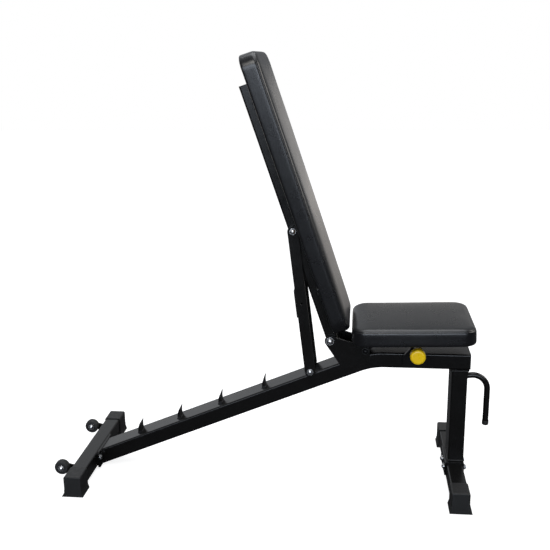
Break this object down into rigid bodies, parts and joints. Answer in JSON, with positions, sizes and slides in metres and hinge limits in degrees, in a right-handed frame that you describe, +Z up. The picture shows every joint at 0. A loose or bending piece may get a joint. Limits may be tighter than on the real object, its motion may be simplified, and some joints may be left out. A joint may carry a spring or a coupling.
{
  "type": "weight bench",
  "caption": "Adjustable weight bench with a reclining backrest on a ladder strut, a tilting seat, a pull-pin knob, transport wheels and a carry handle.",
  "frame": {"origin": "on the floor, at the centre of the whole box in X and Y", "axes": "+X towards the seat and carry handle, +Z up, Y across the bench with the knob on the -Y side"},
  "size_m": [1.256, 0.46, 1.2167],
  "materials": {
    "frame_paint": "satin black powder coat",
    "zinc": "bright zinc plate",
    "black_bolt": "black oxide",
    "plastic": "fine-textured black plastic",
    "rubber": "matte black rubber",
    "leatherette": "black grained upholstery vinyl",
    "plywood": "raw plywood",
    "yellow": "glossy yellow plastic"
  },
  "bodies": {
    "frame": {"main_beam": "frame_paint", "beam_end_cap": "plastic", "ladder_tooth_1": "frame_paint", "ladder_tooth_2": "frame_paint", "ladder_tooth_3": "frame_paint", "ladder_tooth_4": "frame_paint", "hinge_plate_near": "frame_paint", "hinge_plate_far": "frame_paint", "rear_end_plate": "frame_paint", "rear_foot_tube": "frame_paint", "front_foot_tube": "frame_paint", "rear_foot_cap_near": "plastic", "rear_foot_cap_far": "plastic", "front_foot_cap_near": "plastic", "front_foot_cap_far": "plastic", "front_post": "frame_paint", "post_flange": "frame_paint", "post_saddle": "frame_paint", "carry_handle": "frame_paint", "handle_plug": "plastic", "rear_joint_bolts": "zinc", "saddle_bolts": "zinc", "wheel_bracket_near": "frame_paint", "wheel_bracket_far": "frame_paint", "wheel_axle_bolts": "zinc", "back_pivot_bolt": "zinc", "seat_pivot_bolt": "black_bolt", "pin_guide": "frame_paint", "pin_barrel": "zinc", "pin_spring": "zinc"},
    "wheel_near": {"wheel_near": "rubber", "wheel_bush_near": "plastic"},
    "wheel_far": {"wheel_far": "rubber", "wheel_bush_far": "plastic"},
    "backrest": {"back_spine": "frame_paint", "spine_cap_top": "plastic", "spine_cap_bottom": "plastic", "back_straps": "frame_paint", "back_board": "plywood", "back_screws": "black_bolt", "back_pad": "leatherette", "back_pivot_sleeve": "frame_paint", "strut_pivot_sleeve": "frame_paint", "strut_pivot_bolt": "zinc"},
    "strut": {"strut_leg_near": "frame_paint", "strut_leg_far": "frame_paint", "strut_brace": "frame_paint", "strut_rod": "frame_paint", "strut_foot_bolt": "zinc"},
    "seat": {"seat_spine": "frame_paint", "seat_lugs": "frame_paint", "seat_pivot_sleeve": "frame_paint", "seat_straps": "frame_paint", "seat_board": "plywood", "seat_screws": "black_bolt", "seat_pad": "leatherette", "seat_quadrant": "frame_paint"},
    "pin": {"pin_plunger": "zinc", "pin_knob": "yellow"}
  },
  "joints": [
    {"name": "backrest_recline", "type": "hinge", "parent": "frame", "child": "backrest", "pos_m": [0.168, 0, 0.42], "axis": [0, -1, 0], "range_deg": [0, 71.3]},
    {"name": "strut_swing", "type": "hinge", "parent": "backrest", "child": "strut", "pos_m": [0.06323, 0, 0.73578], "axis": [0, 1, 0], "range_deg": [0, 157]},
    {"name": "seat_tilt", "type": "hinge", "parent": "frame", "child": "seat", "pos_m": [0.268, 0, 0.393], "axis": [0, -1, 0], "range_deg": [0, 6.5]},
    {"name": "pin_pull", "type": "slide", "parent": "frame", "child": "pin", "axis": [0, -1, 0], "range_m": [0, 0.01], "stiffness_N_per_m": 600, "springref_m": -0.01},
    {"name": "wheel_near_spin", "type": "hinge", "parent": "frame", "child": "wheel_near", "pos_m": [-0.607, -0.141, 0.0465], "axis": [0, 1, 0], "continuous": true},
    {"name": "wheel_far_spin", "type": "hinge", "parent": "frame", "child": "wheel_far", "pos_m": [-0.607, 0.141, 0.0465], "axis": [0, 1, 0], "continuous": true}
  ],
  "couplings": [
    {"joint": "strut_swing", "follows": "backrest_recline", "ratio": 2.2}
  ]
}
